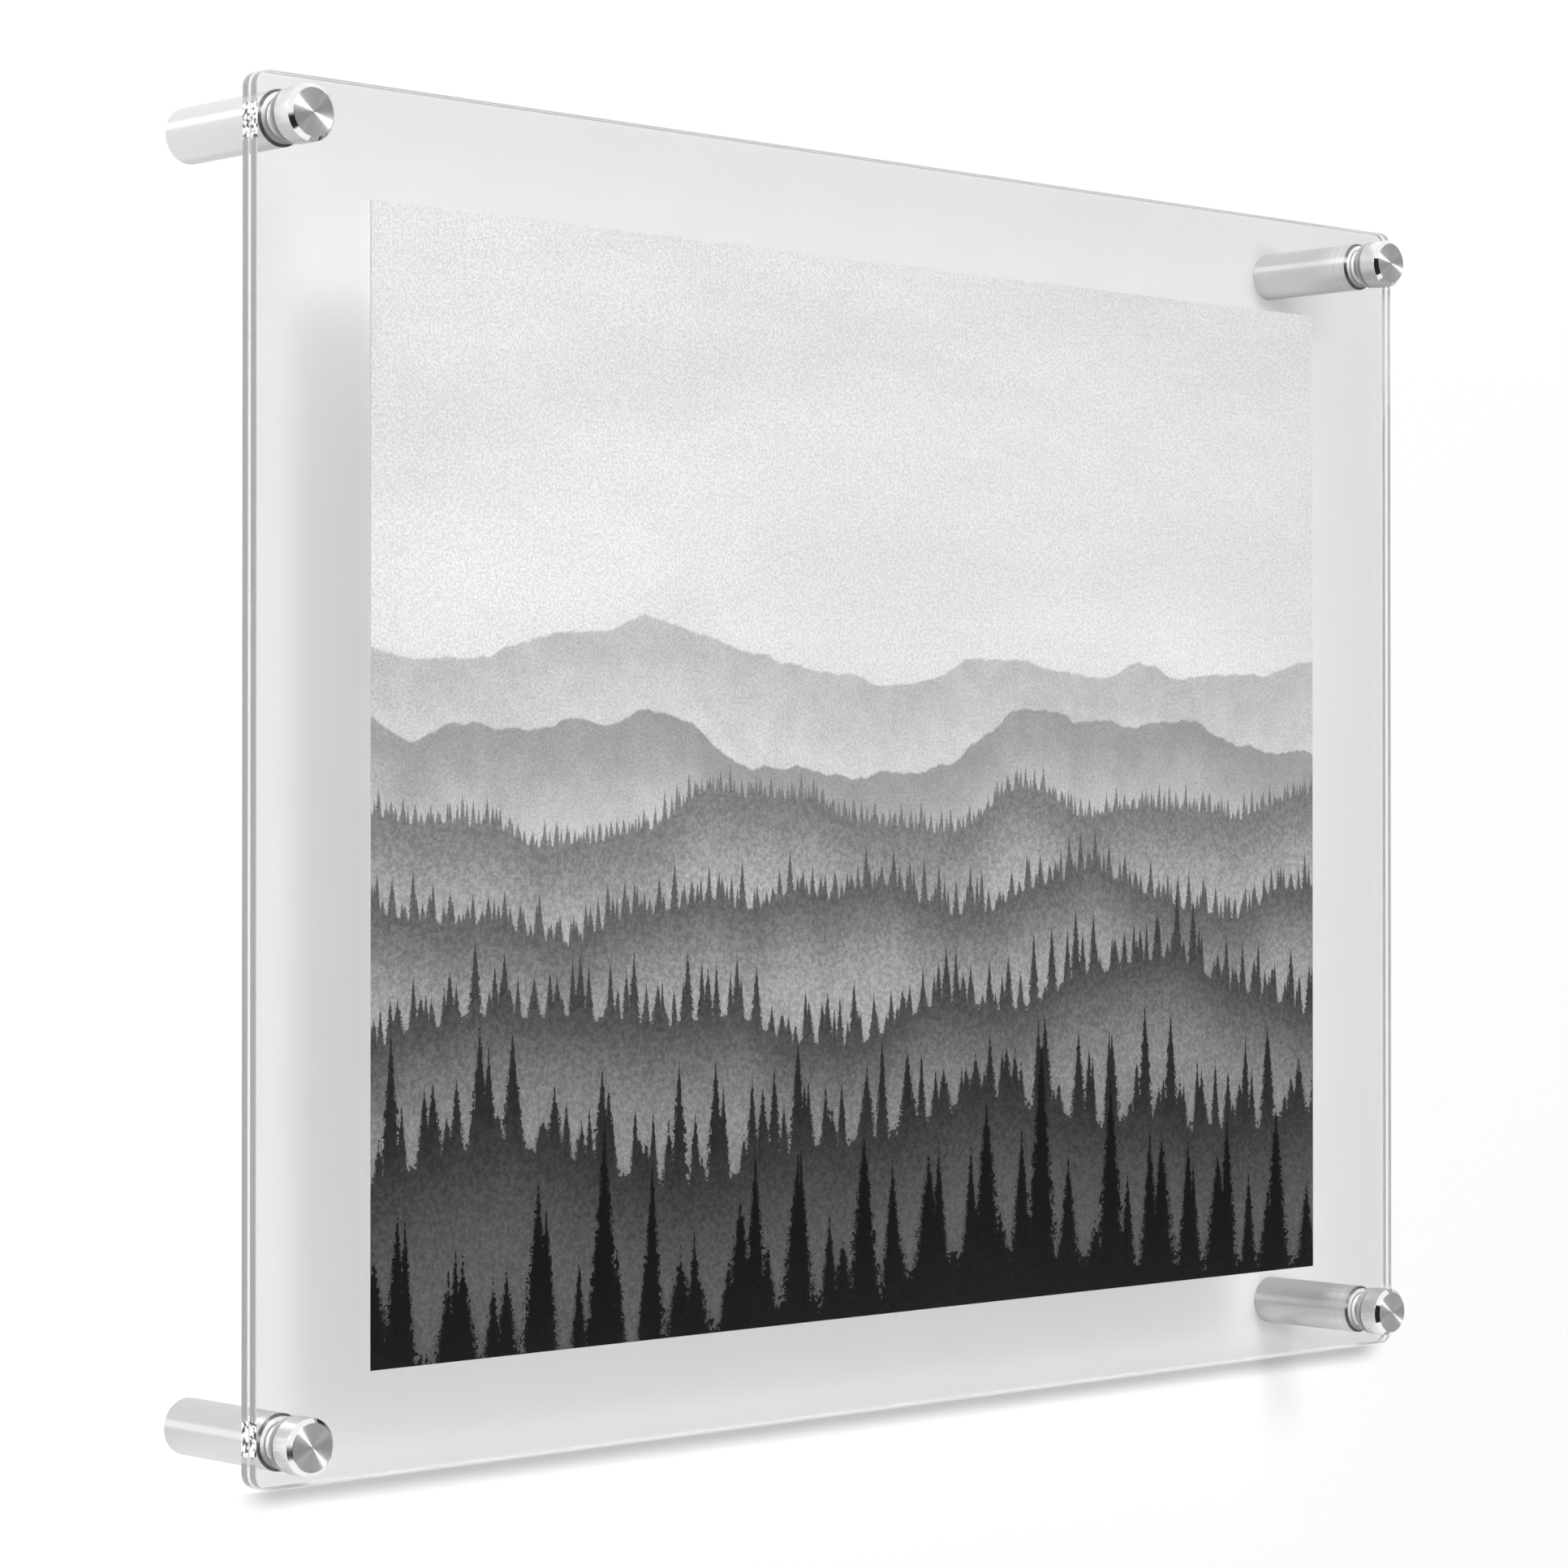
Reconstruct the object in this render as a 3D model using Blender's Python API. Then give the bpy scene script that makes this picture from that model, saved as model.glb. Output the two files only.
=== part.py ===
"""Floating acrylic frame: two clear sheets hold a print between them and stand off the wall on four metal standoffs.

Units are metres. +Z is up, +Y points into the wall, and the front faces -Y.
The origin is on the wall, midway between the four standoffs.
"""

from math import cos, pi, sin

import bmesh
import bpy

# Driving dimensions: the sheets and the print
PANEL_WIDTH = 0.3048
PANEL_HEIGHT = 0.2413
PANEL_THICKNESS = 0.0016
PANEL_CORNER_RADIUS = 0.003
PANEL_EDGE_BREAK = 0.0002
PRINT_WIDTH = 0.254
PRINT_HEIGHT = 0.2032
PRINT_THICKNESS = 0.0003
PRINT_DROP = 0.0008  # how far the print hangs below the sheets' middle

# Driving dimensions: the standoffs
HOLE_INSET_X = 0.0075
HOLE_INSET_Z = 0.0075
BARREL_DIAMETER = 0.010
BARREL_LENGTH = 0.0260
BARREL_FRONT_CHAMFER = 0.0005
BARREL_REAR_CHAMFER = 0.0003
BARREL_WEB = 0.003
CAP_DIAMETER = 0.010
CAP_LENGTH = 0.0052
CAP_FRONT_CHAMFER = 0.0008
CAP_REAR_CHAMFER = 0.0006
STUD_DIAMETER = 0.006
STUD_DEPTH_IN_CAP = 0.0027
STUD_DEPTH_IN_BARREL = 0.007
STUD_CHAMFER = 0.0006
STUD_RUN_OUT = 0.003
WASHER_DIAMETER = 0.0097
WASHER_THICKNESS = 0.0003
SCREW_SHANK_DIAMETER = 0.003
SCREW_LENGTH = 0.025
SCREW_POINT_LENGTH = 0.004
SCREW_HEAD_DIAMETER = 0.0056
SCREW_HEAD_HEIGHT = 0.0022
SCREW_HEAD_CROWN = 0.0008

# Clearances
SEAT_GAP = 0.0003  # between faces that rest on each other
THREAD_CLEARANCE = 0.0003  # round the stud in the barrel and in the cap
HOLE_CLEARANCE = 0.0004  # round the stud in the sheets and washers
SCREW_CLEARANCE = 0.0003  # round the screw's head and shank in the barrel

# Facets
SHOWN_STEPS = 32  # round the caps and barrels
HIDDEN_STEPS = 24  # round the studs, washers, screws and holes
CORNER_STEPS = 6  # in each rounded corner of a sheet
CROWN_STEPS = 3  # over the screw head's crown

# Layers from the wall to the front, as positions along Y
BARREL_FRONT_Y = -BARREL_LENGTH
REAR_PANEL_Y = BARREL_FRONT_Y - SEAT_GAP
PRINT_Y = REAR_PANEL_Y - PANEL_THICKNESS - SEAT_GAP
FRONT_PANEL_Y = PRINT_Y - PRINT_THICKNESS - SEAT_GAP
WASHER_Y = FRONT_PANEL_Y - PANEL_THICKNESS - SEAT_GAP
CAP_REAR_Y = WASHER_Y - WASHER_THICKNESS - SEAT_GAP
CAP_FRONT_Y = CAP_REAR_Y - CAP_LENGTH

# Radii that follow from the sizes and clearances above
BARREL_RADIUS = BARREL_DIAMETER / 2
CAP_RADIUS = CAP_DIAMETER / 2
STUD_RADIUS = STUD_DIAMETER / 2
THREAD_BORE_RADIUS = STUD_RADIUS + THREAD_CLEARANCE
PANEL_HOLE_RADIUS = STUD_RADIUS + HOLE_CLEARANCE
HEAD_RADIUS = SCREW_HEAD_DIAMETER / 2
SHANK_RADIUS = SCREW_SHANK_DIAMETER / 2
HEAD_BORE_RADIUS = HEAD_RADIUS + SCREW_CLEARANCE
SHANK_HOLE_RADIUS = SHANK_RADIUS + SCREW_CLEARANCE

# The four corners: name, side in X and side in Z
CORNERS = (("top_left", -1, 1), ("top_right", 1, 1), ("bottom_left", -1, -1), ("bottom_right", 1, -1))


def clear_scene():
    for old in list(bpy.data.objects):
        bpy.data.objects.remove(old, do_unlink=True)


def material(name, color, roughness, metallic=0.0, alpha=1.0):
    """A Principled BSDF material, see-through where alpha is under 1."""
    made = bpy.data.materials.new(name)
    made.use_nodes = True
    shader = made.node_tree.nodes["Principled BSDF"]
    shader.inputs["Base Color"].default_value = (*color, 1.0)
    shader.inputs["Roughness"].default_value = roughness
    shader.inputs["Metallic"].default_value = metallic
    shader.inputs["Alpha"].default_value = alpha
    made.diffuse_color = (*color, alpha)
    return made


def add_object(name, bm, finish, parent=None, smooth_angle=None):
    """Put a finished bmesh into the scene as one named object."""
    mesh = bpy.data.meshes.new(name)
    bm.to_mesh(mesh)
    bm.free()
    if finish:
        mesh.materials.append(finish)
    if smooth_angle:
        mesh.shade_smooth()
        mesh.set_sharp_from_angle(angle=smooth_angle)
    made = bpy.data.objects.new(name, mesh)
    made.parent = parent
    bpy.context.scene.collection.objects.link(made)
    return made


def turned(name, profile, steps, finish, parent):
    """Turn a closed outline of (radius, y) points about the local Y axis, as on a lathe."""
    bm = bmesh.new()
    points = [bm.verts.new((radius, y, 0.0)) for radius, y in profile]
    edges = [bm.edges.new(pair) for pair in zip(points, points[1:] + points[:1])]
    bmesh.ops.spin(
        bm, geom=points + edges, cent=(0, 0, 0), axis=(0, 1, 0), angle=2 * pi, steps=steps, use_merge=True
    )
    bmesh.ops.remove_doubles(bm, verts=bm.verts, dist=1e-6)
    on_axis = [e for e in bm.edges if not e.link_faces]
    bmesh.ops.delete(bm, geom=on_axis, context="EDGES")
    bmesh.ops.recalc_face_normals(bm, faces=bm.faces)
    return add_object(name, bm, finish, parent, smooth_angle=pi / 6)


def rounded_rectangle(width, height, radius):
    """Points of a rectangle in the XZ plane with an arc at each corner."""
    points = []
    for quarter, (side_x, side_z) in enumerate(((1, 1), (-1, 1), (-1, -1), (1, -1))):
        centre_x = side_x * (width / 2 - radius)
        centre_z = side_z * (height / 2 - radius)
        for step in range(CORNER_STEPS + 1):
            angle = (quarter + step / CORNER_STEPS) * pi / 2
            points.append((centre_x + radius * cos(angle), centre_z + radius * sin(angle)))
    return points


def sheet(name, outline, rear_y, thickness, finish):
    """Extrude an outline in the XZ plane forward from rear_y."""
    bm = bmesh.new()
    face = bm.faces.new([bm.verts.new((x, rear_y, z)) for x, z in outline])
    pulled = bmesh.ops.extrude_face_region(bm, geom=[face])
    moved = [item for item in pulled["geom"] if isinstance(item, bmesh.types.BMVert)]
    bmesh.ops.translate(bm, verts=moved, vec=(0.0, -thickness, 0.0))
    bmesh.ops.recalc_face_normals(bm, faces=bm.faces)
    return add_object(name, bm, finish)


def hole_position(side_x, side_z):
    """Where a corner's standoff stands, from the sheets' edges."""
    return side_x * (PANEL_WIDTH / 2 - HOLE_INSET_X), side_z * (PANEL_HEIGHT / 2 - HOLE_INSET_Z)


def hole_drill():
    """One cutter with a cylinder through both sheets at each corner."""
    bm = bmesh.new()
    rear_y = BARREL_FRONT_Y
    length = rear_y - CAP_FRONT_Y
    for _, side_x, side_z in CORNERS:
        x, z = hole_position(side_x, side_z)
        ring = []
        for step in range(HIDDEN_STEPS):
            angle = 2 * pi * step / HIDDEN_STEPS
            across = PANEL_HOLE_RADIUS * cos(angle)
            up = PANEL_HOLE_RADIUS * sin(angle)
            ring.append(bm.verts.new((x + across, rear_y, z + up)))
        pulled = bmesh.ops.extrude_face_region(bm, geom=[bm.faces.new(ring)])
        moved = [item for item in pulled["geom"] if isinstance(item, bmesh.types.BMVert)]
        bmesh.ops.translate(bm, verts=moved, vec=(0.0, -length, 0.0))
    bmesh.ops.recalc_face_normals(bm, faces=bm.faces)
    drill = add_object("hole_drill", bm, None)
    drill.hide_render = True
    drill.display_type = "WIRE"
    return drill


def acrylic_panel(name, rear_y, drill, finish):
    """A sheet with rounded corners, broken edges and four drilled holes."""
    outline = rounded_rectangle(PANEL_WIDTH, PANEL_HEIGHT, PANEL_CORNER_RADIUS)
    panel = sheet(name, outline, rear_y, PANEL_THICKNESS, finish)
    edge_break = panel.modifiers.new("edge_break", "BEVEL")
    edge_break.width = PANEL_EDGE_BREAK
    edge_break.segments = 1
    edge_break.limit_method = "ANGLE"
    holes = panel.modifiers.new("holes", "BOOLEAN")
    holes.operation = "DIFFERENCE"
    holes.object = drill
    return panel


def art_print(finish):
    half_width = PRINT_WIDTH / 2
    top = PRINT_HEIGHT / 2 - PRINT_DROP
    bottom = top - PRINT_HEIGHT
    corners = [(-half_width, bottom), (half_width, bottom), (half_width, top), (-half_width, top)]
    return sheet("art_print", corners, PRINT_Y, PRINT_THICKNESS, finish)


def barrel_profile():
    """Half section of the barrel: a thread bore in front, a head bore behind it and a web at the wall."""
    thread_end_y = BARREL_FRONT_Y + STUD_DEPTH_IN_BARREL + STUD_RUN_OUT
    return [
        (SHANK_HOLE_RADIUS, 0.0),
        (BARREL_RADIUS - BARREL_REAR_CHAMFER, 0.0),
        (BARREL_RADIUS, -BARREL_REAR_CHAMFER),
        (BARREL_RADIUS, BARREL_FRONT_Y + BARREL_FRONT_CHAMFER),
        (BARREL_RADIUS - BARREL_FRONT_CHAMFER, BARREL_FRONT_Y),
        (THREAD_BORE_RADIUS, BARREL_FRONT_Y),
        (THREAD_BORE_RADIUS, thread_end_y),
        (HEAD_BORE_RADIUS, thread_end_y),
        (HEAD_BORE_RADIUS, -BARREL_WEB),
        (SHANK_HOLE_RADIUS, -BARREL_WEB),
    ]


def cap_profile():
    """Half section of the cap: a flat face, two chamfers and a blind bore for the stud."""
    bore_end_y = CAP_REAR_Y - STUD_DEPTH_IN_CAP - SEAT_GAP
    return [
        (0.0, CAP_FRONT_Y),
        (CAP_RADIUS - CAP_FRONT_CHAMFER, CAP_FRONT_Y),
        (CAP_RADIUS, CAP_FRONT_Y + CAP_FRONT_CHAMFER),
        (CAP_RADIUS, CAP_REAR_Y - CAP_REAR_CHAMFER),
        (CAP_RADIUS - CAP_REAR_CHAMFER, CAP_REAR_Y),
        (THREAD_BORE_RADIUS, CAP_REAR_Y),
        (THREAD_BORE_RADIUS, bore_end_y),
        (0.0, bore_end_y),
    ]


def stud_profile():
    """Half section of the stud, chamfered at both ends."""
    front_y = CAP_REAR_Y - STUD_DEPTH_IN_CAP
    rear_y = BARREL_FRONT_Y + STUD_DEPTH_IN_BARREL
    return [
        (0.0, front_y),
        (STUD_RADIUS - STUD_CHAMFER, front_y),
        (STUD_RADIUS, front_y + STUD_CHAMFER),
        (STUD_RADIUS, rear_y - STUD_CHAMFER),
        (STUD_RADIUS - STUD_CHAMFER, rear_y),
        (0.0, rear_y),
    ]


def washer_profile():
    """Half section of the flat washer between the cap and the front sheet."""
    front_y = WASHER_Y - WASHER_THICKNESS
    outer = WASHER_DIAMETER / 2
    return [(PANEL_HOLE_RADIUS, front_y), (outer, front_y), (outer, WASHER_Y), (PANEL_HOLE_RADIUS, WASHER_Y)]


def screw_profile():
    """Half section of the wall screw: a crowned head on the barrel's web, a shank and a point in the wall."""
    seat_y = -BARREL_WEB - SEAT_GAP
    rim_y = seat_y - SCREW_HEAD_HEIGHT + SCREW_HEAD_CROWN
    tip_y = seat_y + SCREW_LENGTH
    crown = []
    for step in range(CROWN_STEPS + 1):
        angle = pi / 2 * step / CROWN_STEPS
        crown.append((HEAD_RADIUS * sin(angle), rim_y - SCREW_HEAD_CROWN * cos(angle)))
    return [
        *crown,
        (HEAD_RADIUS, seat_y),
        (SHANK_RADIUS, seat_y),
        (SHANK_RADIUS, tip_y - SCREW_POINT_LENGTH),
        (0.0, tip_y),
    ]


def standoff(corner, side_x, side_z, finishes):
    """One standoff: its pieces hang on an empty that stands on their common axis."""
    x, z = hole_position(side_x, side_z)
    axis = bpy.data.objects.new(f"axis_{corner}", None)
    axis.location = (x, 0.0, z)
    bpy.context.scene.collection.objects.link(axis)
    metal, thread, screw, washer = finishes
    turned(f"barrel_{corner}", barrel_profile(), SHOWN_STEPS, metal, axis)
    turned(f"cap_{corner}", cap_profile(), SHOWN_STEPS, metal, axis)
    turned(f"stud_{corner}", stud_profile(), HIDDEN_STEPS, thread, axis)
    turned(f"wall_screw_{corner}", screw_profile(), HIDDEN_STEPS, screw, axis)
    turned(f"washer_{corner}", washer_profile(), HIDDEN_STEPS, washer, axis)


def main():
    clear_scene()
    acrylic = material("clear_acrylic", (0.93, 0.95, 0.96), 0.05, alpha=0.25)
    paper = material("print_paper", (0.62, 0.63, 0.64), 0.45)
    satin_metal = material("satin_metal", (0.78, 0.78, 0.77), 0.3, metallic=1.0)
    thread_metal = material("stud_metal", (0.6, 0.6, 0.6), 0.35, metallic=1.0)
    screw_metal = material("screw_metal", (0.62, 0.61, 0.58), 0.35, metallic=1.0)
    washer_plastic = material("washer_plastic", (0.92, 0.93, 0.94), 0.15, alpha=0.5)
    drill = hole_drill()
    acrylic_panel("rear_panel", REAR_PANEL_Y, drill, acrylic)
    acrylic_panel("front_panel", FRONT_PANEL_Y, drill, acrylic)
    art_print(paper)
    for corner, side_x, side_z in CORNERS:
        standoff(corner, side_x, side_z, (satin_metal, thread_metal, screw_metal, washer_plastic))


main()
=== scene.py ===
# %% [markdown]
# A floating frame holds a print between two clear acrylic sheets. Four turned metal standoffs carry the
# sheets 26 mm in front of the wall, so the print seems to float and throws a soft shadow through the
# clear margin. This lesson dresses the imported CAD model. Flat and turned parts get finer surfaces,
# worked out with numpy from a short formula each, and every finish is made of shader nodes. The CAD
# stays underneath as the measure of it all.

# %% load the frame
from math import pi, radians

import bmesh
import bpy
import numpy as np
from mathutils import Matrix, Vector
from mathutils.geometry import tessellate_polygon


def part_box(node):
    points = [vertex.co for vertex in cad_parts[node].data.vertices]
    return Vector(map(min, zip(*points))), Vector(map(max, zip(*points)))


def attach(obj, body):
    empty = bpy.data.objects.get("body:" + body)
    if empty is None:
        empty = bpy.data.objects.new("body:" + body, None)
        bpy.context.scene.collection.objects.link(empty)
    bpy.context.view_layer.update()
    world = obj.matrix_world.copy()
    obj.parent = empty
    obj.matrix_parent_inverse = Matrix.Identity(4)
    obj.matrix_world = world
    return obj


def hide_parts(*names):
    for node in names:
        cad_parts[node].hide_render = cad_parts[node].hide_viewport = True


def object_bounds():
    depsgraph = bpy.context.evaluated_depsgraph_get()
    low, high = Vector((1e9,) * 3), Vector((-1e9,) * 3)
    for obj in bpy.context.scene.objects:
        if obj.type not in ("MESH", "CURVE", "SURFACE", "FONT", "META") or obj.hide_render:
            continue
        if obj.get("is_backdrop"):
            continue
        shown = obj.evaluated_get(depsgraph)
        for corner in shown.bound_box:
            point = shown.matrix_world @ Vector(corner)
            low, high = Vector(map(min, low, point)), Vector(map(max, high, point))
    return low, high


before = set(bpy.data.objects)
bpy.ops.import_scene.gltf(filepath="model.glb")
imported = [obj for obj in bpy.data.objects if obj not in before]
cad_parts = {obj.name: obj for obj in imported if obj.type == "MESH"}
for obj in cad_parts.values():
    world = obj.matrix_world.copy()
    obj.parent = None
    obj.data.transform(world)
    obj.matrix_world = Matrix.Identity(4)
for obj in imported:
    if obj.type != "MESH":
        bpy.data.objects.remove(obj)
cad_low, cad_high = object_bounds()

MM = 0.001
CORNERS = ("top_left", "top_right", "bottom_left", "bottom_right")

# %% [markdown]
# The camera comes first, because everything else is judged through it. The photo was taken from the left
# with a long lens, so the near edge is only a little taller than the far one. The place and the lens
# below were found by matching the corners of the sheets and the print to the photo, with the real sizes
# known.

# %% camera
LENS_MM = 98.57
SENSOR_MM = 36.0
CAMERA_PLACE = (-0.58599, -0.61977, -0.00646)
CAMERA_TURN = radians(43.354)
CAMERA_LIFT = radians(0.4433)
NEAREST_SEEN = 0.01

camera_data = bpy.data.cameras.new("photo_camera")
camera_data.lens = LENS_MM
camera_data.sensor_width = SENSOR_MM
camera_data.clip_start = NEAREST_SEEN
camera = bpy.data.objects.new("photo_camera", camera_data)
camera.location = CAMERA_PLACE
camera.rotation_euler = (pi / 2 + CAMERA_LIFT, 0.0, -CAMERA_TURN)
scene = bpy.context.scene
scene.collection.objects.link(camera)
scene.camera = camera
scene.view_settings.view_transform = "Standard"
print("camera at", CAMERA_PLACE, "lens", LENS_MM, "mm")

# %% [markdown]
# Node trees are easier to read as short sentences. This small class adds one node per call and hands
# back its output, so a finish can be written from top to bottom. A value that is a socket becomes a
# link, and any other value is written into the socket.

# %% a desk for writing finishes
class Finish:
    """A node tree that grows by one node per call."""

    def __init__(self, name, tree=None):
        self.material = None
        if tree is None:
            self.material = bpy.data.materials.new(name)
            self.material.use_nodes = True
            tree = self.material.node_tree
        self.tree = tree
        self.tree.nodes.clear()

    def add(self, kind, sockets=None, output=0, **settings):
        node = self.tree.nodes.new("ShaderNode" + kind)
        for setting, value in settings.items():
            setattr(node, setting, value)
        for socket, value in (sockets or {}).items():
            if isinstance(value, bpy.types.NodeSocket):
                self.tree.links.new(value, node.inputs[socket])
            else:
                node.inputs[socket].default_value = value
        return node.outputs[output]

    def math(self, operation, *values, clamp=False):
        return self.add("Math", dict(enumerate(values)), operation=operation, use_clamp=clamp)

    def times(self, *values):
        """The product of all the values."""
        product = values[0]
        for value in values[1:]:
            product = self.math("MULTIPLY", product, value)
        return product

    def darker(self, level, share, depth):
        """level where share is 0, and less the given depth of it where share is 1."""
        return self.times(level, self.math("MULTIPLY_ADD", share, -depth, 1.0))

    def mix(self, share, first, second):
        """first where share is 0, second where it is 1."""
        return self.add("Mix", {0: share, 2: first, 3: second})

    def ramp(self, value, start, end, low=0.0, high=1.0):
        """A smooth rise from low at start to high at end, held level outside."""
        sockets = {0: value, 1: start, 2: end, 3: low, 4: high}
        return self.add("MapRange", sockets, interpolation_type="SMOOTHSTEP")

    def spread(self, noise, low, high, half=0.2):
        """Noise made to run from low to high, with half as its usual swing about 0.5."""
        return self.ramp(noise, 0.5 - half, 0.5 + half, low, high)

    def place(self):
        """The piece's own coordinates."""
        return self.add("TexCoord", output="Object")

    def axis(self, vector, letter):
        return self.add("SeparateXYZ", {0: vector}, output=letter)

    def path(self, kind):
        """What a light path is, or how often it has bounced."""
        return self.add("LightPath", output=kind)

    def noise(self, scale, detail=2.0):
        """Noise in the piece's own space, near 0.5 on average."""
        return self.add("TexNoise", {"Vector": self.place(), "Scale": scale, "Detail": detail})

    def noise_line(self, where, scale, detail=2.0):
        """Noise along one number, near 0.5 on average."""
        sockets = {"W": where, "Scale": scale, "Detail": detail}
        return self.add("TexNoise", sockets, noise_dimensions="1D")

    def grey(self, tone):
        return self.add("CombineColor", {0: tone, 1: tone, 2: tone})

    def let_light_by(self, glass, share):
        """The glass, which lets the given share of shadow rays pass straight through."""
        open_way = self.add("BsdfTransparent", {"Color": (share, share, share, 1.0)})
        return self.add("MixShader", {0: self.path("Is Shadow Ray"), 1: glass, 2: open_way})

    def surface(self, shader):
        self.add_output("OutputMaterial", shader)
        return self.material

    def add_output(self, kind, shader):
        node = self.tree.nodes.new("ShaderNode" + kind)
        self.tree.links.new(shader, node.inputs["Surface"])


print("finishes are written with", Finish.__name__)

# %% [markdown]
# The backdrop is a plain white wall in a white room. Most of their white is a glow that only the view,
# reflections and clear parts see, so the light on the frame can stay soft. A light path counts as a view
# until it has bounced off something matt.

# %% what counts as a view
def view_share(finish):
    """1 on paths from the camera, straight, through clear parts or off metal, and 0 on lighting paths."""
    any_view = finish.math("ADD", finish.path("Is Camera Ray"), finish.path("Is Glossy Ray"))
    any_view = finish.math("ADD", any_view, finish.path("Is Transmission Ray"), clamp=True)
    matt_bounces = finish.path("Diffuse Depth")
    return finish.times(any_view, finish.math("SUBTRACT", 1.0, matt_bounces, clamp=True))


print("views are told from lighting by", view_share.__name__)

# %% [markdown]
# Clear edges and round bars steer light about, and rays that pass straight through clear sheets can't
# find that. So the wall carries soft shades of its own: a line below the sheets' bottom edge and a faint
# band above it, a slanting one beside the foot of each right-hand barrel, and the print's shade, which
# only metal mirrors. Each is a product of smooth ramps along X and Z.

# %% shade on the wall
SHADE_SOFT = 0.006
EDGE_SHADE_TOP = -0.1268
EDGE_SHADE_RISE = 0.0006
EDGE_SHADE_END = -0.1313
EDGE_SHADE_LEFT = -0.130
EDGE_SHADE_RIGHT = 0.183
EDGE_SHADE_DEPTH = 0.44
MARGIN_START = -0.1205
MARGIN_FULL = -0.1268
MARGIN_DEPTH = 0.10
PRINT_SHADE_LOW = -0.116
PRINT_SHADE_HIGH = 0.088
PRINT_SHADE_LEFT = -0.14
PRINT_SHADE_FULL = -0.10
PRINT_SHADE_START = 0.5
PRINT_SHADE_DEPTH = 0.36
BAR_SHADE_ALONG = 0.94
BAR_SHADE_DOWN = 0.34
BAR_SHADE_OUTER = 0.0085
BAR_SHADE_INNER = 0.0035
BAR_SHADE_END = 0.028
BAR_SHADE_FULL = 0.004
BAR_SHADE_BACK = 0.008
BAR_SHADE_DEPTH = 0.24


def axis_of(corner):
    """(x, z) of the standoff at a corner."""
    low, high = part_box("barrel_" + corner)
    return (low.x + high.x) / 2, (low.z + high.z) / 2


coat = Finish("painted_wall")
wall_place = coat.place()
wall_x = coat.axis(wall_place, "X")
wall_z = coat.axis(wall_place, "Z")
edge_band = coat.times(
    coat.ramp(wall_z, EDGE_SHADE_END, EDGE_SHADE_TOP),
    coat.ramp(wall_x, EDGE_SHADE_LEFT - SHADE_SOFT, EDGE_SHADE_LEFT + SHADE_SOFT),
    coat.ramp(wall_x, EDGE_SHADE_RIGHT + SHADE_SOFT, EDGE_SHADE_RIGHT - SHADE_SOFT),
)
edge_top = coat.ramp(wall_z, EDGE_SHADE_TOP + EDGE_SHADE_RISE, EDGE_SHADE_TOP)
edge_shade = coat.times(edge_band, edge_top)
margin_shade = coat.times(edge_band, coat.ramp(wall_z, MARGIN_START, MARGIN_FULL))
print_shade = coat.times(
    coat.ramp(wall_z, PRINT_SHADE_LOW - SHADE_SOFT, PRINT_SHADE_LOW + SHADE_SOFT),
    coat.ramp(wall_z, PRINT_SHADE_HIGH + SHADE_SOFT, PRINT_SHADE_HIGH - SHADE_SOFT),
    coat.ramp(wall_x, PRINT_SHADE_LEFT, PRINT_SHADE_FULL, PRINT_SHADE_START, 1.0),
    coat.math("MINIMUM", coat.path("Glossy Depth"), 1.0),
)
foot_x, foot_z = axis_of("top_right")
from_foot_x = coat.math("SUBTRACT", wall_x, foot_x)
foot_height = coat.times(coat.math("SIGN", wall_z), foot_z)
from_foot_z = coat.math("SUBTRACT", wall_z, foot_height)
along = coat.times(from_foot_x, BAR_SHADE_ALONG)
along = coat.math("MULTIPLY_ADD", from_foot_z, -BAR_SHADE_DOWN, along)
aside = coat.times(from_foot_x, BAR_SHADE_DOWN)
aside = coat.math("ABSOLUTE", coat.math("MULTIPLY_ADD", from_foot_z, BAR_SHADE_ALONG, aside))
bar_shade = coat.times(
    coat.ramp(aside, BAR_SHADE_OUTER, BAR_SHADE_INNER),
    coat.ramp(along, BAR_SHADE_END, BAR_SHADE_FULL),
    coat.ramp(along, -BAR_SHADE_BACK, 0.0),
)
bright = coat.darker(1.0, edge_shade, EDGE_SHADE_DEPTH)
bright = coat.darker(bright, margin_shade, MARGIN_DEPTH)
bright = coat.darker(bright, print_shade, PRINT_SHADE_DEPTH)
bright = coat.darker(bright, bar_shade, BAR_SHADE_DEPTH)
print("shade line from", EDGE_SHADE_TOP, "to", EDGE_SHADE_END, "m")

# %% [markdown]
# The wall's finish adds paint and glow. The paint shows what the lamp does, and the glow fills it up to
# white, so shadows stay pale and soft. To the left of the frame the wall is all glow, since the photo
# shows no shadow there, and it glows a little more near the top. From behind the wall is open, so the
# back of the frame can be looked at.

# %% wall
WALL_HALF = 3.0
WALL_PAINT = 0.82
WALL_VIEW_PAINT = 0.41
WALL_GLOW = 0.68
WALL_GRAIN = 900.0
OPEN_WALL_X = -0.124
OPEN_WALL_GLOW = 1.05
TOP_START = 0.095
TOP_FULL = 0.115
TOP_GLOW = 0.035

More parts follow.
